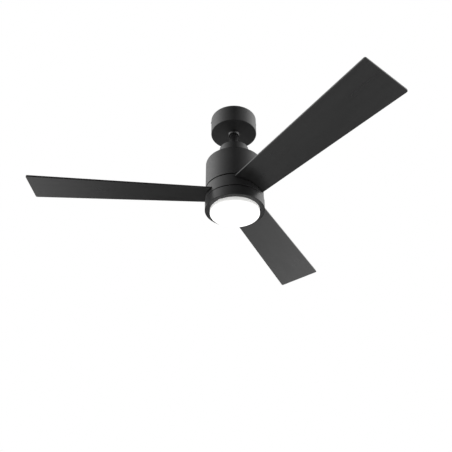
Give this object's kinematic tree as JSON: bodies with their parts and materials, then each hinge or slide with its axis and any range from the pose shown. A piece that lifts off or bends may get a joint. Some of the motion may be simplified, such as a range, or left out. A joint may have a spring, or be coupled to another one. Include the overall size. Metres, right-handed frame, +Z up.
{
  "type": "ceiling fan with light",
  "caption": "Low-profile ceiling fan: cylindrical motor housing on a short downrod, flat pitched blades fixed to a turning hub ring, and a round opal LED light below.",
  "frame": {"origin": "on the fan's axis, in the plane of the ceiling", "axes": "+Z up towards the ceiling; blade_1 points along -X; the bracket's slots lie along X"},
  "size_m": [0.9787, 1.1151, 0.3696],
  "materials": {
    "black_paint": "satin black powder coat",
    "blade_laminate": "matt black foil on plywood",
    "zinc_steel": "bright zinc plate",
    "bright_steel": "ground steel",
    "cast_aluminium": "as cast",
    "silicon_steel": "varnished laminations",
    "copper": "enamelled copper wire",
    "ferrite": "sintered",
    "black_plastic": "moulded",
    "white_plastic": "moulded",
    "circuit_board": "solder resist",
    "opal_acrylic": "opal, lit from behind",
    "rubber": "moulded"
  },
  "bodies": {
    "mounting": {"hanger_bracket": "zinc_steel", "canopy": "black_paint", "canopy_screw_1": "black_paint", "canopy_screw_2": "black_paint", "canopy_collar": "black_paint", "terminal_block": "white_plastic"},
    "seat_liner": {"ball_seat_liner": "rubber"},
    "hanging_fan": {"hanger_ball": "cast_aluminium", "ball_pin": "bright_steel", "ball_set_screw": "bright_steel", "downrod": "black_paint", "motor_coupling": "cast_aluminium", "coupling_pin": "bright_steel", "coupling_clip": "bright_steel", "coupling_set_screw": "bright_steel", "housing_screw_1": "zinc_steel", "housing_screw_2": "zinc_steel", "motor_housing": "black_paint", "controller_tray": "black_plastic", "controller_board": "circuit_board", "motor_shaft": "zinc_steel", "stator_core": "silicon_steel", "stator_winding": "copper", "upper_bearing_inner_race": "bright_steel", "lower_bearing_inner_race": "bright_steel", "upper_spacer": "zinc_steel", "lower_spacer": "zinc_steel", "light_can": "black_paint", "shaft_nut": "zinc_steel", "led_driver": "white_plastic", "led_tray": "cast_aluminium", "led_board": "white_plastic", "tray_screw_1": "zinc_steel", "tray_screw_2": "zinc_steel", "lens_bezel": "black_paint", "supply_cable": "black_plastic", "light_cable": "black_plastic", "supply_plug": "white_plastic"},
    "cover": {"coupling_cover": "black_paint"},
    "rotor": {"rotor_bell": "cast_aluminium", "rotor_cover": "cast_aluminium", "rotor_magnets": "ferrite", "upper_bearing_outer_race": "bright_steel", "lower_bearing_outer_race": "bright_steel", "hub_screw_1": "zinc_steel", "hub_screw_2": "zinc_steel", "hub_screw_3": "zinc_steel", "blade_hub": "black_paint", "blade_1": "blade_laminate", "blade_2": "blade_laminate", "blade_3": "blade_laminate", "blade_screw_1_1": "zinc_steel", "blade_screw_1_2": "zinc_steel", "blade_screw_2_1": "zinc_steel", "blade_screw_2_2": "zinc_steel", "blade_screw_3_1": "zinc_steel", "blade_screw_3_2": "zinc_steel"},
    "lens": {"lens": "opal_acrylic"}
  },
  "joints": [
    {"name": "swing_about_x", "type": "hinge", "parent": "mounting", "child": "seat_liner", "pos_m": [0, 0, -0.033], "axis": [1, 0, 0], "range_deg": [-3, 3]},
    {"name": "swing_about_y", "type": "hinge", "parent": "seat_liner", "child": "hanging_fan", "pos_m": [0, 0, -0.033], "axis": [0, 1, 0], "range_deg": [-3, 3]},
    {"name": "cover_lift", "type": "slide", "parent": "hanging_fan", "child": "cover", "axis": [0, 0, 1], "range_m": [0, 0.05]},
    {"name": "rotor_spin", "type": "hinge", "parent": "hanging_fan", "child": "rotor", "pos_m": [0, 0, -0.3], "axis": [0, 0, 1], "continuous": true},
    {"name": "lens_twist", "type": "hinge", "parent": "hanging_fan", "child": "lens", "pos_m": [0, 0, -0.36], "axis": [0, 0, 1], "range_deg": [0, 20]}
  ]
}
